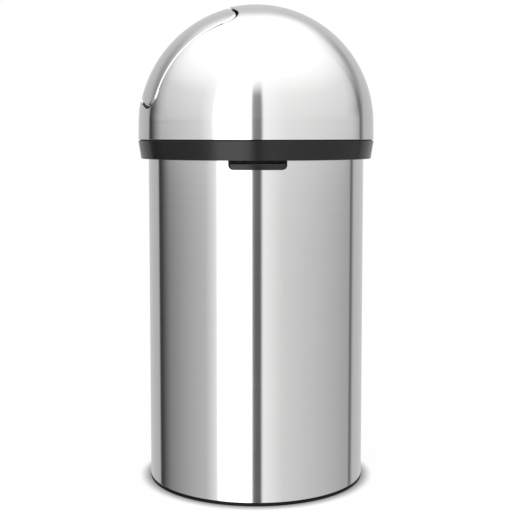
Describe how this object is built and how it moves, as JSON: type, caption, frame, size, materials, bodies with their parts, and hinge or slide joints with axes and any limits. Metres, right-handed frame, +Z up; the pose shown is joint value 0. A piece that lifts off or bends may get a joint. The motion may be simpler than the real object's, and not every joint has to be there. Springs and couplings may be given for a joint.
{
  "type": "dome push bin",
  "caption": "Round free-standing waste bin with a brushed-steel body and dome, a spring-shut push flap, a tip-back lid with a front latch and a lift-out bucket.",
  "frame": {"origin": "on the floor under the centre of the base", "axes": "+Z up along the bin's axis, -Y to the latch at the front, +Y to the lid's hinge, -X to the push flap"},
  "size_m": [0.4052, 0.4052, 0.8169],
  "materials": {
    "brushed_steel_sheet": "fine brushing round the body, satin",
    "black_plastic": "fine moulded grain, satin black",
    "inner_plastic": "moulded black, matt",
    "bucket_plastic": "moulded dark grey, matt",
    "rubber": "soft black rubber",
    "bright_steel": "zinc-plated steel",
    "hinge_black": "satin black paint"
  },
  "bodies": {
    "body": {"body_shell": "brushed_steel_sheet", "base_plate": "black_plastic", "floor_ring": "rubber", "base_screws": "bright_steel", "body_rim": "inner_plastic", "inner_bucket": "bucket_plastic", "hinge_bracket": "hinge_black", "hinge_rivets": "bright_steel", "hinge_pin": "bright_steel", "latch_catch": "bright_steel", "catch_rivets": "bright_steel"},
    "lid": {"dome_shell": "brushed_steel_sheet", "lid_ring": "black_plastic", "dome_clamp_ring": "inner_plastic", "clamp_screws": "bright_steel", "hinge_arm": "hinge_black", "hinge_arm_screws": "bright_steel", "lid_pads": "rubber", "latch_housing": "black_plastic", "lever_pin": "bright_steel", "opening_frame": "inner_plastic", "spring_drum": "inner_plastic", "spring_cap": "inner_plastic", "return_spring": "bright_steel", "damper_body": "inner_plastic", "damper_cap": "inner_plastic"},
    "flap": {"flap_skin": "brushed_steel_sheet", "flap_liner": "inner_plastic", "flap_axle": "bright_steel", "damper_rotor": "inner_plastic", "axle_collars": "bright_steel"},
    "lever": {"latch_lever": "black_plastic"},
    "bail": {"bucket_bail": "bright_steel", "bail_grip": "inner_plastic"}
  },
  "joints": [
    {"name": "lid_hinge", "type": "hinge", "parent": "body", "child": "lid", "pos_m": [0, 0.1955, 0.548], "axis": [-1, 0, 0], "range_deg": [0, 85]},
    {"name": "flap_hinge", "type": "hinge", "parent": "lid", "child": "flap", "pos_m": [-0.02043, 0, 0.79763], "axis": [0, -1, 0], "range_deg": [0, 45], "stiffness_Nm_per_rad": 0.6, "springref_deg": -91.67},
    {"name": "latch_pull", "type": "hinge", "parent": "lid", "child": "lever", "pos_m": [0, -0.191, 0.5615], "axis": [-1, 0, 0], "range_deg": [0, 12]},
    {"name": "bail_swing", "type": "hinge", "parent": "body", "child": "bail", "pos_m": [0, 0, 0.563], "axis": [0, -1, 0], "range_deg": [0, 85]}
  ]
}
